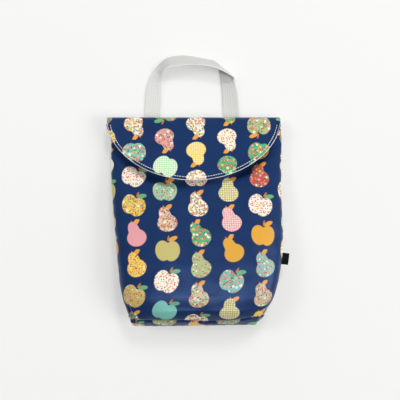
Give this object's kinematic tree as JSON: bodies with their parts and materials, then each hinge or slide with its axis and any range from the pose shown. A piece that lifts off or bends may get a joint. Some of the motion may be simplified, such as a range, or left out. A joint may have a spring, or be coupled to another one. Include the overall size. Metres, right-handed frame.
{
  "type": "wet bag",
  "caption": "Lined waterproof cloth pouch with a rounded fold-over flap, a boxed bottom and a webbing carry handle.",
  "frame": {"origin": "middle of the flat of the back, on which the pouch lies", "axes": "+Y from the bottom seam to the handle, +Z out of the front face, +X to the right seen from the front"},
  "size_m": [0.2164, 0.3237, 0.05],
  "materials": {
    "printed_cotton": "laminated cotton print on navy, soft sheen",
    "lining": "smooth coated waterproof lining",
    "webbing": "ribbed off-white cotton webbing",
    "thread": "white sewing thread",
    "fastening_tape": "matte hook and loop tape",
    "label_ribbon": "black woven ribbon, bare"
  },
  "bodies": {
    "bag": {"front_panel": "printed_cotton", "front_lining": "lining", "back_panel": "printed_cotton", "back_lining": "lining", "mouth_topstitch": "thread", "loop_patch": "fastening_tape", "loop_patch_stitch": "thread", "handle_end_left": "webbing", "handle_end_right": "webbing", "handle_stitch_left": "thread", "handle_stitch_right": "thread", "side_label": "label_ribbon"},
    "fold": {"fold_outer": "printed_cotton", "fold_lining": "lining"},
    "flap": {"flap_outer": "printed_cotton", "flap_lining": "lining", "flap_topstitch": "thread", "hook_patch": "fastening_tape", "hook_patch_stitch": "thread"},
    "handle": {"handle_loop": "webbing"}
  },
  "joints": [
    {"name": "fold_crease", "type": "hinge", "parent": "bag", "child": "fold", "pos_m": [0, 0.125, 0.0101], "axis": [-1, 0, 0], "range_deg": [0, 60]},
    {"name": "flap_crease", "type": "hinge", "parent": "fold", "child": "flap", "pos_m": [0, 0.1175, 0.0176], "axis": [-1, 0, 0], "range_deg": [0, 60]},
    {"name": "handle_swing", "type": "hinge", "parent": "bag", "child": "handle", "pos_m": [0, 0.1245, 0.0009], "axis": [1, 0, 0], "range_deg": [-165, 30]}
  ],
  "couplings": [
    {"joint": "flap_crease", "follows": "fold_crease", "ratio": 1}
  ]
}
